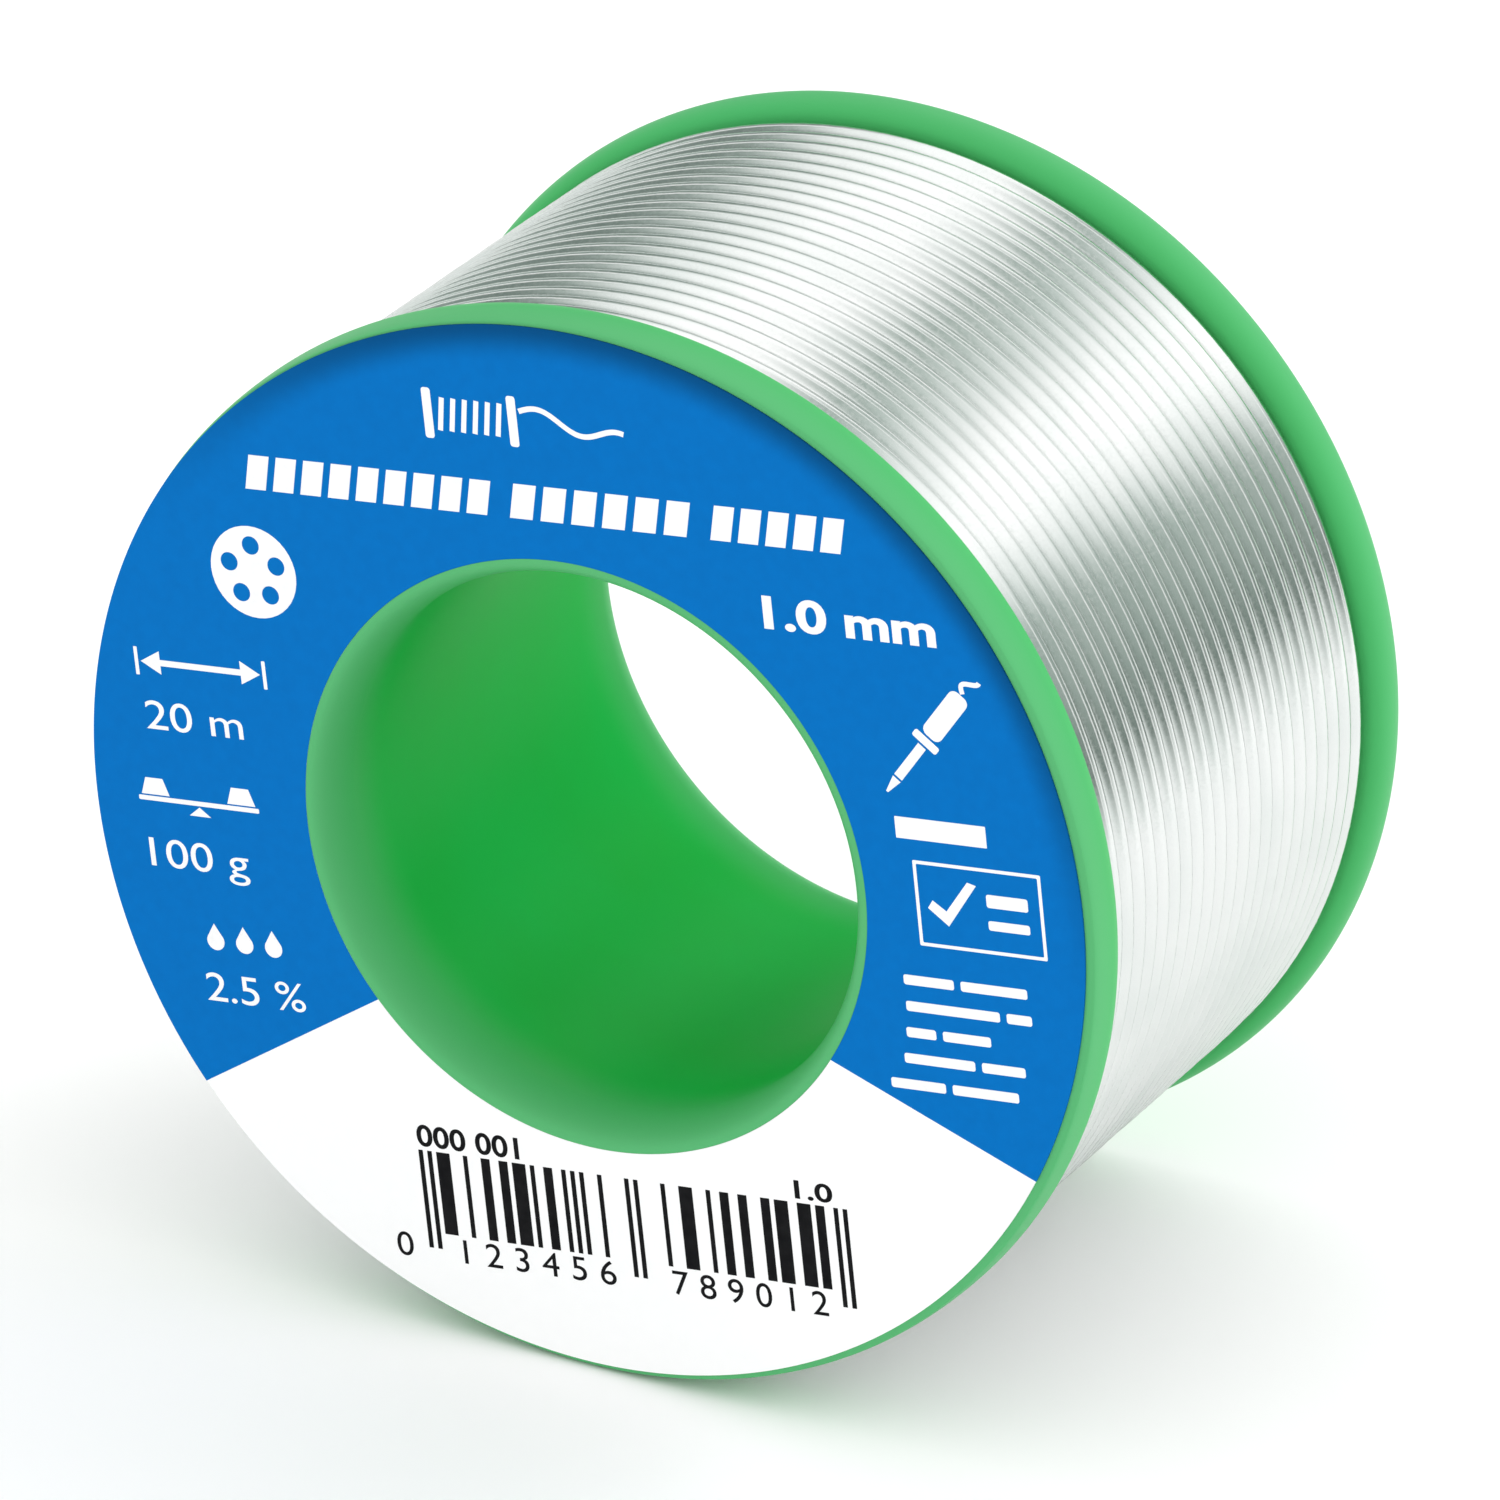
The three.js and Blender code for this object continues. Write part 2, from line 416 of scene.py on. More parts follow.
def add_wire_uv(mesh, path, sides):
    """U is the length along the wire in millimetres and V goes once round it."""
    along = np.concatenate([[0], np.cumsum(np.linalg.norm(np.diff(path, axis=0), axis=1))])
    uv = np.zeros((len(mesh.loops), 2), np.float32)
    vertex = np.zeros(len(mesh.loops), np.int32)
    mesh.loops.foreach_get("vertex_index", vertex)
    uv[:, 0] = along[vertex // sides]
    uv[:, 1] = (vertex % sides) / sides
    quads = (len(path) - 1) * sides
    wraps = np.arange(quads).reshape(-1, sides)[:, -1]
    for corner in (1, 2):
        uv[wraps * 4 + corner, 1] = 1.0
    layer = mesh.uv_layers.new(name="along_and_round")
    layer.data.foreach_set("uv", uv.ravel())


def solder_material():
    """Bright drawn tin alloy: fine draw lines along the wire, and small dull specks."""
    material, tree, shader = new_material("solder_wire")
    place = coordinates(tree)
    along_wire = {"Vector": coordinates(tree, "UV"), "Scale": (0.25, 8.0, 1.0)}
    lines = noise(tree, add(tree, "Mapping", "Vector", along_wire), 3.0)
    specks = noise(tree, place, 7000.0, 1.0)
    patches = noise(tree, place, 260.0)
    tints = ((0.3, (0.80, 0.83, 0.815)), (0.62, (0.86, 0.875, 0.865)))
    connect(tree, shader, {
        "Base Color": ramp(tree, patches, tints),
        "Metallic": 1.0,
        "Roughness": ranged(tree, specks, (0.14, 0.24), out_of=(0.35, 0.75)),
        "Normal": bump(tree, specks, 0.06, 0.01, Normal=bump(tree, lines, 0.05, 0.01)),
    })
    return material


def make_wire():
    path = winding_path()
    mesh = tube("solder_wire", path, WIRE_R, WIRE_SIDES)
    to_frame(mesh)
    layers = [f"wire_layer_{k}" for k in range(1, LAYERS + 1)]
    wire = piece("solder_wire", mesh, solder_material(), "solder_wire",
                 "wire_start_tail", *layers, "wire_end_tail")


make_wire()


# ---------------------------------------------------------------- the plastic spool

def plastic_material():
    """Semi-gloss green moulded plastic with a faint grain and slightly cloudy colour and gloss.

    It is painted paler towards its edges: a painted sheen that stands in for the soft highlights on
    the rims and at the mouths of the bore.
    """
    material, tree, shader = new_material("spool_plastic")
    place = coordinates(tree)
    cloud = noise(tree, place, 90.0, 4.0)
    grain = noise(tree, place, 4200.0)
    green = ramp(tree, cloud, ((0.3, (0.0, 0.440, 0.048)), (0.7, (0.0, 0.470, 0.068))))
    connect(tree, shader, {
        # painted sheen: the paler green is mixed in at the rims and the bore's mouths in place of
        # highlights
        "Base Color": mixed(tree, painted_sheen_share(tree, place), green, (0.115, 0.440, 0.185, 1)),
        "Roughness": ranged(tree, cloud, (0.34, 0.46)),
        "Normal": bump(tree, grain, 0.08, 0.02),
        "Specular IOR Level": 0.07,
    })
    return material


def painted_sheen_share(tree, place):
    """How far the plastic is painted paler as a painted sheen: most at the two rims and at the mouths
    of the bore.
    """
    from_middle = maths(tree, "ABSOLUTE", add(tree, "SeparateXYZ", "Y", {"Vector": place}))
    ends = (SHEEN_PAINTED_FROM * MM, REAR_Y * MM)
    outward = ranged(tree, from_middle, (0.0, 0.85), out_of=ends, kind="SMOOTHSTEP")
    to_axis = (0, 0, -AXIS_Z * MM)
    from_axis = vector_maths(tree, "MULTIPLY_ADD", "Vector", place, (1, 0, 1), to_axis)
    radius = vector_maths(tree, "LENGTH", "Value", from_axis)
    stops = (
        (COLLAR_R - 1.6, 1.0),
        (COLLAR_R + 0.6, 0.35),
        (RIM_R - REAR_RIM_WIDE - 0.4, 0.35),
        (RIM_R - 1, 1.0),
    )
    greys = [(r / RIM_R, (sheen, sheen, sheen)) for r, sheen in stops]
    edges = ramp(tree, ranged(tree, radius, out_of=(0.0, RIM_R * MM)), greys)
    return maths(tree, "MULTIPLY", outward, edges)


def body_profile():
    """Barrel, spigot and rear flange, up the outside and back down the bore."""
    barrel_r = FIRST_R - WIRE_R
    floor_y = REAR_Y - REAR_RECESS
    rim_in = RIM_R - REAR_RIM_WIDE
    under_lip_y = LABEL_BACK_Y
    lip_end = (BORE_FRONT_R, LABEL_Y + LIP_DEPTH)
    flare_end = (BORE_REAR_R, REAR_Y - REAR_FLARE)
    s = SMALL_ROUND
    return [
        (SPIGOT_R, under_lip_y),
        (SPIGOT_R, -INNER_Y),
        (barrel_r, -INNER_Y),
        *arc(barrel_r + s, INNER_Y - s, s, 180, 90, 4),
        *arc(RIM_R - INNER_CORNER, INNER_Y + INNER_CROWN, INNER_CORNER, -90, 0, 12, INNER_CROWN),
        *arc(RIM_R - REAR_CORNER, REAR_Y - OUTER_CROWN, REAR_CORNER, 0, 90, 12, OUTER_CROWN),
        *arc(rim_in + s, REAR_Y - s, s, 90, 180, 4),
        *arc(rim_in - 2 * s, floor_y + 2 * s, 2 * s, 0, -90, 5),
        *arc(COLLAR_R + 2 * s, floor_y + 2 * s, 2 * s, -90, -180, 5),
        *arc(COLLAR_R - s, REAR_Y - s, s, 0, 90, 4),
        *arc(BORE_REAR_R + REAR_FLARE, REAR_Y - REAR_FLARE, REAR_FLARE, 90, 180, 24),
        *straight(flare_end, lip_end, 24),
        *arc(SPIGOT_R, LABEL_Y + LIP_DEPTH, FRONT_LIP, 180, 270, 20, LIP_DEPTH),
        (LIP_R, LABEL_Y + HAIR),
        (LIP_R, under_lip_y),
    ]


def flange_profile():
    hole_r = SPIGOT_R + SEAM_GAP
    face_y = LABEL_BACK_Y + HAIR
    back_y = -INNER_Y - HAIR / 5
    bead_y = -INNER_Y + BEAD_OVERHANG
    bead_foot = RIM_R - BEAD_TALL
    return [
        *arc(RIM_R - FRONT_CORNER, face_y + FRONT_CROWN, FRONT_CORNER, 270, 360, 12, FRONT_CROWN),
        *arc(RIM_R - BEAD_CORNER, bead_y - BEAD_CROWN, BEAD_CORNER, 0, 90, 12, BEAD_CROWN),
        (bead_foot, bead_y),
        (bead_foot, back_y),
        (hole_r, back_y),
        (hole_r, face_y),
    ]


def prism(outline, low_y, angle):
    """A solid to cut the rear with, from low_y out, on an outline of (x, radius) turned to angle."""
    high_y = REAR_Y + CUT_PAST
    count = len(outline)
    verts = [(x, y, r) for y in (low_y, high_y) for x, r in outline]
    faces = [tuple(range(count)), tuple(range(2 * count - 1, count - 1, -1))]
    for i in range(count):
        j = (i + 1) % count
        faces.append((i, i + count, j + count, j))
    mesh = bpy.data.meshes.new("cut_tool")
    mesh.from_pydata(verts, [], faces)
    face_outward(mesh)
    mesh.transform(Matrix.Rotation(angle, 4, "Y"))
    return mesh


def slot_tool(angle, inner_r, outer_r, corner=0.5):
    """A slot along the rim with rounded corners, right through the rear flange."""
    outline = []
    half = SLOT_LONG / 2
    corners = [(half, outer_r, 0), (-half, outer_r, 90), (-half, inner_r, 180), (half, inner_r, 270)]
    for x, r, start in corners:
        x_in = x - math.copysign(corner, x)
        r_in = r - corner if r == outer_r else r + corner
        for a in np.radians(np.linspace(start, start + 90, 7)):
            outline.append((x_in + corner * math.cos(a), r_in + corner * math.sin(a)))
    return prism(outline, INNER_Y - CUT_PAST, angle)


def ejector_tool(angle, sides=40):
    """The shallow round mark that a mould's ejector pin leaves in the rear's recess."""
    middle_r = (COLLAR_R + RIM_R - REAR_RIM_WIDE) / 2
    turn = [2 * math.pi * k / sides for k in range(sides)]
    outline = [(EJECTOR_R * math.cos(a), middle_r + EJECTOR_R * math.sin(a)) for a in turn]
    return prism(outline, REAR_Y - REAR_RECESS - EJECTOR_DEEP, angle)


def make_spool():
    plastic = plastic_material()
    start = slot_tool(START_ANGLE, FIRST_R - SLOT_WIDE / 2, FIRST_R + SLOT_WIDE / 2)
    end = slot_tool(END_ANGLE, RIM_R - REAR_RIM_WIDE - NOTCH_PAST, RIM_R + SLOT_WIDE)
    ejectors = [ejector_tool(math.radians(a)) for a in EJECTOR_ANGLES]
    body = cut(turned("spool_body_fine", body_profile()), [start, end, *ejectors])
    to_frame(body)
    piece("spool_body_fine", body, plastic, "spool_plastic", "spool_body")
    flange = turned("front_flange_fine", flange_profile())
    to_frame(flange)
    piece("front_flange_fine", flange, plastic, "spool_plastic", "front_flange")


make_spool()


# ---------------------------------------------------------------- the label and its print

LABEL_TURN = math.radians(6.3)    # the label was stuck on slightly turned
LABEL_LOW_R = LIP_R + HAIR
INK = 0.008                       # thickness of a layer of ink
INK_LIFT = 0.4 * INK              # the middle of the first layer is this far off the paper
PAPER_Y = LABEL_Y + 2 * INK       # the paper's face, so that the ink is still within the spool's width
EDGE_INK = 0.02                   # the blue also covers the paper's cut edge, this thick
# The white part runs to these angles from straight down, at the label's inner and outer edge.
WHITE_LEFT = (math.radians(54.6), math.radians(57.4))
WHITE_RIGHT = (math.radians(54.6), math.radians(59.2))
CAP = 0.729                       # height of a capital letter in the font, as a share of its size
# Each group of figures: its text, the x and z of its lower left corner, its height and its width,
# and how far its strokes are widened.
WHITE_FIGURES = (
    ("1.0 mm", 9.3, 10.8, 1.35, 7.5, 0.03),
    ("20 m", -19.6, 3.35, 1.3, 4.5, 0.0),
    ("100 g", -20.2, -2.65, 1.3, 4.6, 0.0),
    ("2.5 %", -18.3, -8.3, 1.3, 4.6, 0.0),
)
BLACK_FIGURES = (
    ("000 001", -9.2, -13.5, 0.95, 4.7, 0.02),
    ("1.0", 8.0, -13.5, 0.8, 1.7, 0.02),
    ("0", -10.7, -18.5, 1.1, 0.75, 0.0),
    ("1 2 3 4 5 6", -7.6, -18.5, 1.1, 7.0, 0.0),
    ("7 8 9 0 1 2", 2.0, -18.5, 1.1, 7.0, 0.0),
)


def paper_material():
    """White coated paper with a faint fibre."""
    material, tree, shader = new_material("label_paper")
    fibre = noise(tree, coordinates(tree), 1500.0, 4.0)
    connect(tree, shader, {
        "Base Color": ramp(tree, fibre, ((0.0, (0.93, 0.933, 0.935)), (1.0, (0.965, 0.965, 0.965)))),
        "Roughness": 0.45,
        "Normal": bump(tree, fibre, 0.05, 0.02),
        "Specular IOR Level": 0.25,
    })
    return material


def ink_material(name, dark, light):
    """Printed ink: nearly even colour, with the press's slight mottle in colour and gloss."""
    material, tree, shader = new_material(name)
    mottle = noise(tree, coordinates(tree), 1800.0, 5.0)
    connect(tree, shader, {
        "Base Color": ramp(tree, mottle, ((0.3, dark), (0.7, light))),
        "Roughness": ranged(tree, mottle, (0.42, 0.54)),
        "Specular IOR Level": 0.04,
    })
    return material


def paint_rim_shadow_on_label(material, dark, wide=1.5):
    """Painted shade: the blue is painted darker in a soft band along the upper part of the label's
    outer edge, standing in for the rim's shadow there.
    """
    tree = material.node_tree
    base = tree.nodes["Principled BSDF"].inputs["Base Color"]
    plain = base.links[0].from_socket
    middle = (0, LABEL_Y * MM, AXIS_Z * MM)
    centred = vector_maths(tree, "SUBTRACT", "Vector", coordinates(tree), middle)
    radius = vector_maths(tree, "LENGTH", "Value", centred)
    edge = ((LABEL_R - wide) * MM, LABEL_R * MM)
    shadow_band = ranged(tree, radius, out_of=edge, kind="SMOOTHSTEP")
    upward = vector_maths(tree, "DOT_PRODUCT", "Value", centred, (0.30, 0, 0.95))
    upper = (0.15 * LABEL_R * MM, 0.85 * LABEL_R * MM)
    top = ranged(tree, upward, (0.0, 0.8), out_of=upper, kind="SMOOTHSTEP")
    share = maths(tree, "MULTIPLY", shadow_band, top)
    tree.links.new(mixed(tree, share, plain, (*dark, 1)), base)


def label_arc(radius, off_x, start, end, steps=240):
    """Points round the label, between angles from straight down towards -X.

    off_x is along the spool's X axis, and the points are on the label's own axes.
    """
    x = off_x * math.cos(LABEL_TURN)
    z = -off_x * math.sin(LABEL_TURN)
    angles = np.linspace(start, end, steps)
    return [(x - radius * math.sin(a), z - radius * math.cos(a)) for a in angles]


def blue_outline():
    """All of the label but the white part at the bottom."""
    full = 2 * math.pi
    outer = label_arc(LABEL_R, LABEL_OFF_X, WHITE_LEFT[1], full - WHITE_RIGHT[1])
    inner = label_arc(LABEL_LOW_R, 0, WHITE_LEFT[0], full - WHITE_RIGHT[0])
    return [*outer, *inner[::-1]]


def blue_edge_mesh():
    """The blue on the paper's cut edge, as deep as the paper."""
    deep = LABEL_BACK_Y - PAPER_Y
    ends = (WHITE_LEFT[1], 2 * math.pi - WHITE_RIGHT[1])
    outer = label_arc(LABEL_R, LABEL_OFF_X, *ends)
    inner = label_arc(LABEL_R - EDGE_INK, LABEL_OFF_X, *ends)
    mesh = shape_mesh([[*outer, *inner[::-1]]], deep)
    mesh.transform(Matrix.Translation((0, 0, -deep / 2 - INK_LIFT)))
    return mesh


# Shapes of ink, as outlines in millimetres on the label's own upright axes. Outlines that lie
# inside another are holes, and no two of them cross.

def bar(x, z, wide, tall, corner=0.06):
    """A bar with slightly rounded corners, whose lower left corner is at x, z."""
    points = []
    for cx, cz, start in (
        (x + wide - corner, z + corner, -90),
        (x + wide - corner, z + tall - corner, 0),
        (x + corner, z + tall - corner, 90),
        (x + corner, z + corner, 180),
    ):
        for a in np.radians(np.linspace(start, start + 90, 6)):
            points.append((cx + corner * math.cos(a), cz + corner * math.sin(a)))
    return points


def frame_lines(x, z, wide, tall, line):
    """A rectangle drawn with a line."""
    return [bar(x, z, wide, tall), bar(x + line, z + line, wide - 2 * line, tall - 2 * line)]


def circle(x, z, radius, steps=40):
    angles = np.arange(steps) * 2 * math.pi / steps
    return [(x + radius * math.cos(a), z + radius * math.sin(a)) for a in angles]


def stroke(points, line):
    """A line of even thickness along the points, which don't turn sharply."""
    path = np.array(points, float)
    way = np.gradient(path, axis=0)
    way /= np.linalg.norm(way, axis=1)[:, None]
    side = np.stack([-way[:, 1], way[:, 0]], axis=1) * line / 2
    return [*map(tuple, path + side), *map(tuple, (path - side)[::-1])]


def slanted_bars(x, z, wide, tall, count):
    """A row of leaning strokes, like turns of wire side by side."""
    pitch = wide / count
    thick = 0.74 * pitch
    lean = 0.22 * tall
    rows = []
    for i in range(count):
        left = x + i * pitch
        foot = [(left, z), (left + thick, z)]
        head = [(u + lean, z + tall) for u, _ in reversed(foot)]
        rows.append(foot + head)
    return rows


def spool_mark(x=-5.0, z=17.2, tall=2.1):
    """A spool seen from the side, with the end of its wire running off to the right."""
    cheek = 0.4
    between = 3.4
    inset = 0.36
    line = 0.22
    far = x + cheek + between
    shapes = [bar(x, z, cheek, tall, 0.12), bar(far, z, cheek, tall, 0.12)]
    turns = 6
    pitch = (between - 0.3) / turns
    for i in range(turns):
        left = x + cheek + 0.15 + (i + 0.28) * pitch
        shapes.append(stroke([(left, z + inset), (left + 0.2, z + tall - inset)], line))
    start_x = far + cheek + 0.12
    run = [(start_x + 4.6 * t, z + 1.5 - 0.8 * t + 0.3 * math.sin(2.6 * math.pi * t))
           for t in np.linspace(0, 1, 40)]
    shapes.append(stroke(run, line))
    return shapes


def cored_wire_mark(x=-13.7, z=10.65, radius=1.95, cores=5):
    """The cut end of a wire with cores in it."""
    shapes = [circle(x, z, radius)]
    out = 0.58 * radius
    for k in range(cores):
        a = math.radians(90 + 360 / cores * k)
        shapes.append(circle(x + out * math.cos(a), z + out * math.sin(a), 0.2 * radius))
    return shapes


def length_mark(x=-19.8, z=6.25, wide=6.1):
    """An arrow with two heads, between two end marks."""
    head = 0.9
    half = 0.5
    line = 0.13
    end = 0.16
    left = x + end + 0.12
    right = x + wide - end - 0.12
    arrow = [
        (left, z), (left + head, z + half), (left + head, z + line), (right - head, z + line),
        (right - head, z + half), (right, z), (right - head, z - half), (right - head, z - line),
        (left + head, z - line), (left + head, z - half),
    ]
    return [arrow, bar(x, z - 0.6, end, 1.2, 0.03), bar(x + wide - end, z - 0.6, end, 1.2, 0.03)]


def weight_mark(x=-20.4, z=-0.25, wide=5.6):
    """A balance: a beam on a wedge, with a block on each end."""
    beam_z = z + 0.45
    middle = x + wide / 2
    wedge = [(middle - 0.5, z), (middle + 0.5, z), (middle, beam_z - 0.06)]
    shapes = [bar(x, beam_z, wide, 0.2, 0.05), wedge]
    block = ((0, 0), (1.3, 0), (1.05, 0.72), (0.25, 0.72))
    for left in (x + 0.15, x + wide - 1.45):
        shapes.append([(left + u, beam_z + 0.27 + v) for u, v in block])
    return shapes


def flux_mark(x=-17.6, z=-5.65, radius=0.4, count=3):
    """A row of drops."""
    shapes = []
    for k in range(count):
        cx = x + 1.35 * k
        round_part = [(cx + radius * math.sin(a), z - radius * math.cos(a))
                      for a in np.linspace(-0.72 * math.pi, 0.72 * math.pi, 24)]
        shapes.append([*round_part, (cx, z + 1.9 * radius)])
    return shapes


def iron_mark(x=14.0, z=4.5, lean=math.radians(50)):
    """A soldering iron, tip down to the left."""
    def turned_outline(points):
        c, s = math.cos(lean), math.sin(lean)
        return [(x + u * c - v * s, z + u * s + v * c) for u, v in points]

    tip = [(0.0, -0.05), (0.75, -0.2), (0.75, 0.2), (0.0, 0.05)]
    shaft = [(0.85, -0.2), (2.7, -0.2), (2.7, 0.2), (0.85, 0.2)]
    collar = bar(2.8, -0.62, 0.35, 1.24, 0.1)
    handle = bar(3.25, -0.45, 2.45, 0.9, 0.3)
    lead = stroke([(5.8 + 0.9 * t, 0.25 * math.sin(5 * t)) for t in np.linspace(0, 1, 16)], 0.2)
    return [turned_outline(shape) for shape in (tip, shaft, collar, handle, lead)]


def tick_box(x=14.8, z=-1.85, wide=5.55, tall=3.58):
    """A framed tick, with two lines beside it."""
    shapes = frame_lines(x, z, wide, tall, 0.14)
    low_x = x + 1.35
    low_z = z + 0.95
    thick = 0.38
    shapes.append([
        (low_x, low_z), (low_x + 1.35, low_z + 1.85), (low_x + 1.35 - thick, low_z + 1.95),
        (low_x - 0.05, low_z + 0.62), (low_x - 0.62, low_z + 1.02), (low_x - 0.85, low_z + 0.68),
    ])
    shapes.append(bar(x + 3.1, z + 1.95, 1.8, 0.55, 0.1))
    shapes.append(bar(x + 3.1, z + 1.0, 1.8, 0.4, 0.1))
    return shapes


def small_print(z=-3.6, row_step=1.12, gap=0.3):
    """Rows of blank dashes. Each row is where it starts and the lengths of its dashes."""
    rows = (
        (13.9, 2.2, 2.9),
        (13.9, 4.1, 1.1),
        (13.8, 1.3, 2.1),
        (13.6, 3.1, 1.9),
        (12.9, 2.4, 2.9),
    )
    shapes = []
    for i, (x, *lengths) in enumerate(rows):
        for length in lengths:
            shapes.append(bar(x, z - row_step * i, length, 0.42, 0.1))
            x += length + gap
    return shapes


def white_marks():
    """The marks that take the place of the label's words."""
    shapes = spool_mark()
    heading = ((-13.6, 11.3, 9), (-1.6, 8.2, 6), (7.3, 6.0, 5))
    for x, wide, count in heading:
        shapes += slanted_bars(x, 14.2, wide, 1.45, count)
    shapes += cored_wire_mark()
    shapes += length_mark()
    shapes += weight_mark()
    shapes += flux_mark()
    shapes += iron_mark()
    shapes.append(bar(14.2, 2.6, 3.95, 0.9, 0.03))
    shapes += tick_box()
    shapes += small_print()
    return shapes


def bars(x=-9.2, z=-17.3, wide=19.5, tall=3.6, modules=95):
    """A made-up pattern of bars that codes nothing. The guards at its ends and middle are longer."""
    one = wide / modules
    guards = (0, 2, 46, 48, 92, 94)
    guard_drop = 0.7
    widest = 3
    rng = np.random.default_rng(5)
    shapes = []
    at = guards[1] + 2
    while at < guards[-2] - 2:
        size = int(rng.integers(1, widest + 1))
        if not guards[2] - widest < at + size < guards[3] + widest + 1:
            shapes.append(bar(x + at * one, z, size * one, tall, 0.01))
        at += size + int(rng.integers(1, widest + 1))
    for start in guards:
        shapes.append(bar(x + start * one, z - guard_drop, one, tall + guard_drop, 0.01))
    return shapes


def curve_mesh(data):
    obj = bpy.data.objects.new("curve_to_mesh", data)
    bpy.context.scene.collection.objects.link(obj)
    depsgraph = bpy.context.evaluated_depsgraph_get()
    mesh = bpy.data.meshes.new_from_object(obj.evaluated_get(depsgraph))
    bpy.data.objects.remove(obj)
    return mesh


def shape_mesh(outlines, thick=INK):
    data = bpy.data.curves.new("outlines", "CURVE")
    data.dimensions = "2D"
    data.fill_mode = "BOTH"
    data.extrude = thick / 2
    for outline in outlines:
        spline = data.splines.new("POLY")
        spline.points.add(len(outline) - 1)
        for point, (x, z) in zip(spline.points, outline):
            point.co = (x, z, 0, 1)
        spline.use_cyclic_u = True
    return curve_mesh(data)


def figure_mesh(body, x, z, tall, wide, bold):
    """Figures from the lower left at x, z, as tall as given and squeezed to the width."""
    data = bpy.data.curves.new("figures", "FONT")
    data.body = body
    data.extrude = INK / 2
    data.offset = bold
    data.resolution_u = 6
    mesh = curve_mesh(data)
    across = [v.co.x for v in mesh.vertices]
    fit = Matrix.Diagonal((wide / (max(across) - min(across)), tall / CAP, 1, 1))
    mesh.transform(Matrix.Translation((x, z, 0)) @ fit @ Matrix.Translation((-min(across), 0, 0)))
    return mesh


def lay_ink(name, meshes, material, level):
    """Puts ink on the label. Level 1 lies on the paper and level 2 on the ink below."""
    made = bmesh.new()
    for mesh in meshes:
        made.from_mesh(mesh)
    bmesh.ops.remove_doubles(made, verts=made.verts, dist=0.0005)
    bmesh.ops.recalc_face_normals(made, faces=made.faces)
    mesh = bpy.data.meshes.new(name)
    made.to_mesh(mesh)
    made.free()
    upright = Matrix.Rotation(math.pi / 2, 4, "X")
    turn = Matrix.Rotation(-LABEL_TURN, 4, "Y")
    place = Matrix.Translation((0, PAPER_Y - INK_LIFT - INK * (level - 1), 0))
    mesh.transform(place @ turn @ upright)
    to_frame(mesh)
    piece(name, mesh, material, "label_paper")


def paper_mesh():
    """The label's ring of paper. Its hole is true to the bore and its outline is off to one side."""
    rings = ((LABEL_LOW_R, 0), (LABEL_R - EDGE_INK / 2, LABEL_OFF_X))
    verts = []
    for y in (PAPER_Y, LABEL_BACK_Y):
        for radius, off_x in rings:
            for k in range(AROUND):
                a = 2 * math.pi * k / AROUND
                verts.append((radius * math.sin(a) + off_x, y, radius * math.cos(a)))
    faces = []
    front_in, front_out, back_in, back_out = (AROUND * k for k in range(4))
    loop = (front_in, front_out, back_out, back_in, front_in)
    for low, high in zip(loop, loop[1:]):
        for k in range(AROUND):
            after = (k + 1) % AROUND
            faces.append((low + k, low + after, high + after, high + k))
    mesh = bpy.data.meshes.new("label_paper_ring")
    mesh.from_pydata(verts, [], faces)
    face_outward(mesh)
    smooth(mesh)
    return mesh


def make_label():
    paper = paper_mesh()
    to_frame(paper)
    piece("label_paper_ring", paper, paper_material(), "label_paper", "front_label")
    blue = ink_material("label_blue", (0.0, 0.148, 0.480), (0.0, 0.158, 0.510))
    # painted shadow: the rim's shade along the label's upper edge, painted into the blue in this dark
    # colour
    paint_rim_shadow_on_label(blue, (0.0, 0.050, 0.150))
    white = ink_material("label_white", (0.88, 0.885, 0.89), (0.94, 0.94, 0.94))
    black = ink_material("label_black", (0.006, 0.006, 0.007), (0.012, 0.012, 0.013))
    values = [figure_mesh(*figures) for figures in WHITE_FIGURES]
    codes = [figure_mesh(*figures) for figures in BLACK_FIGURES]
    lay_ink("label_blue_ink", [shape_mesh([blue_outline()]), blue_edge_mesh()], blue, 1)
    lay_ink("label_white_marks", [shape_mesh(white_marks())], white, 2)
    lay_ink("label_white_figures", values, white, 2)
    lay_ink("label_black_bars", [shape_mesh(bars())], black, 1)
    lay_ink("label_black_figures", codes, black, 1)


make_label()


# ---------------------------------------------------------------- floor and light

def make_floor():
    """A plain white table top, round and wide enough to fill the view, and greyer when mirrored."""
    bpy.ops.mesh.primitive_circle_add(vertices=128, radius=0.17, fill_type="NGON")
    floor = bpy.context.object
    floor.name = "floor"
    material, tree, shader = new_material("floor")
    mirrored = add(tree, "LightPath", "Is Glossy Ray", {})
    connect(tree, shader, {
        "Base Color": mixed(tree, mirrored, (0.97, 0.97, 0.97, 1), (0.83, 0.84, 0.835, 1)),
        "Roughness": 0.8,
        "Specular IOR Level": 0.1,
    })
    floor.data.materials.append(material)


def area_light(name, place, aim, size, power):
    """A soft box at place, in metres, turned to aim. The bright wire doesn't mirror it."""
    data = bpy.data.lights.new(name, "AREA")
    data.shape = "RECTANGLE"
    data.size, data.size_y = size
    data.energy = power
    light = bpy.data.objects.new(name, data)
    light.visible_glossy = False
    light.location = place
    light.rotation_euler = (Vector(aim) - Vector(place)).to_track_quat("-Z", "Y").to_euler()
    bpy.context.scene.collection.objects.link(light)


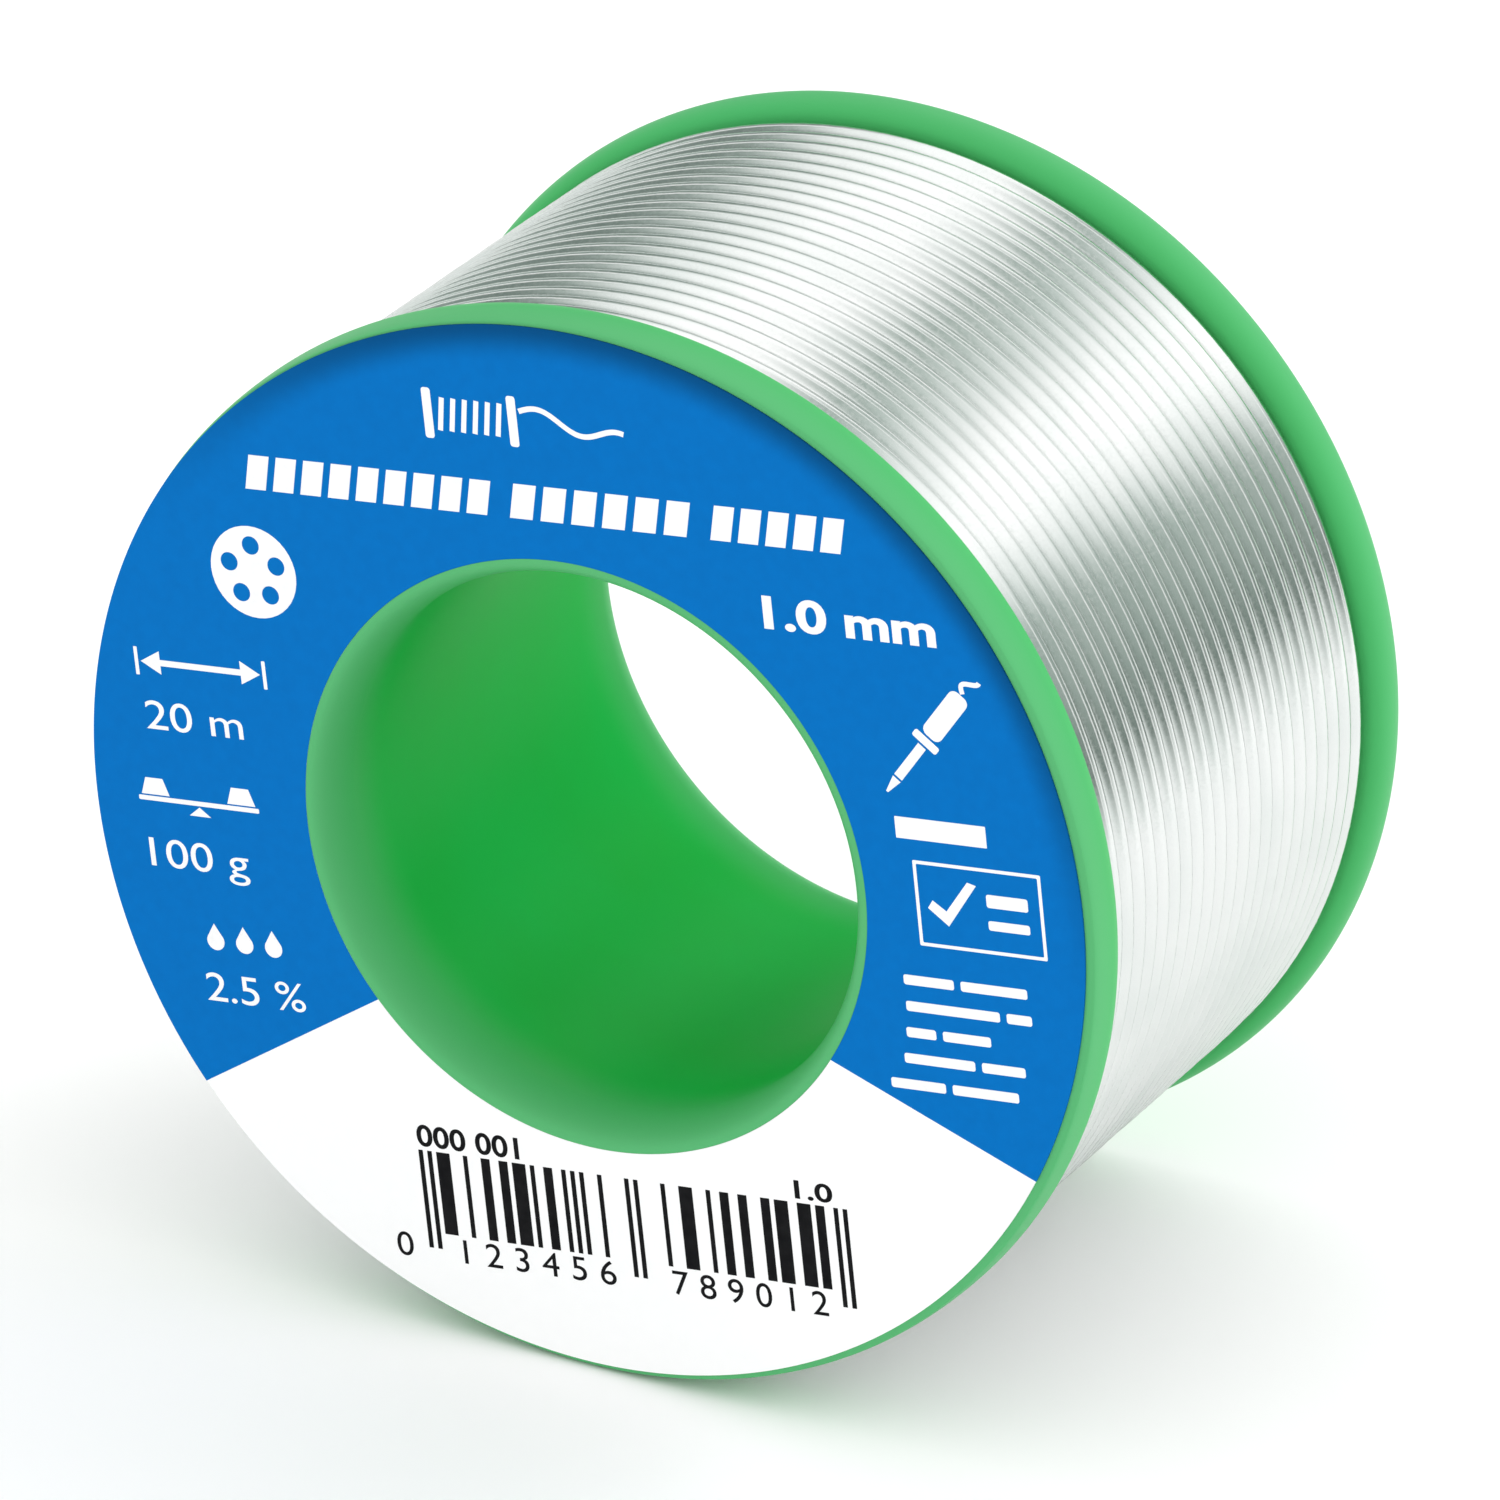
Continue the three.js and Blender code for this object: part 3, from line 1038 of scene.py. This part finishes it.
def shade_stops(stops, low, high):
    """Stops of (value, shade) between low and high, for a ramp. Darker shades are greener."""
    coloured = []
    for value, shade in stops:
        grey = min(shade, 1.0)
        colour = (shade * (0.72 + 0.28 * grey), shade, shade * (0.86 + 0.14 * grey))
        coloured.append(((value - low) / (high - low), colour))
    return coloured


# What the bright metal mirrors: long soft boxes and dark gaps between them, all parallel to the
# spool's axis. Each stop is an angle round that axis from straight up towards +X, and a shade.
ROOM_ROUND = (
    (-180, 0.90), (-100, 0.90), (-76, 0.54), (-64, 0.30), (-50, 0.18), (-42, 0.32), (-32, 0.86),
    (-18, 1.06), (-4, 1.02), (10, 0.38), (18, 0.56), (30, 0.96), (38, 1.10), (46, 1.06), (54, 0.82),
    (62, 0.40), (72, 0.37), (80, 0.28), (88, 0.15), (99, 0.82), (180, 0.86),
)
# A narrow soft box across them, by its height on the axis, draws a light line on every turn.
ROOM_ALONG = ((-1.0, 0.0), (0.25, 0.0), (0.37, 0.90), (0.47, 0.90), (0.59, 0.0), (1.0, 0.0))


def make_world():
    """An even white room for light. Mirrored, it has the soft boxes and dark gaps given above."""
    world = bpy.data.worlds.new("room")
    bpy.context.scene.world = world
    world.use_nodes = True
    tree = world.node_tree
    x, y, z = (add(tree, "SeparateXYZ", k, {"Vector": coordinates(tree, "Generated")}) for k in "XYZ")
    turn = ranged(tree, maths(tree, "ARCTAN2", x, z), out_of=(-math.pi, math.pi))
    round_axis = ramp(tree, turn, shade_stops(ROOM_ROUND, -180, 180))
    along_axis = ramp(tree, ranged(tree, y, out_of=(-1.0, 1.0)), shade_stops(ROOM_ALONG, -1, 1))
    room = mixed(tree, 1.0, round_axis, along_axis, blend="LIGHTEN")
    mirrored = add(tree, "LightPath", "Is Glossy Ray", {})
    connect(tree, tree.nodes["Background"], {
        "Color": mixed(tree, mirrored, (1.0, 1.0, 1.0, 1), room),
        "Strength": 1.14,
    })


make_floor()
make_world()
area_light("rear_box", place=(0.25, 0.30, 0.16), aim=(0, 0, 0.022), size=(0.22, 0.22), power=0.6)
bpy.context.scene.view_settings.view_transform = "Standard"
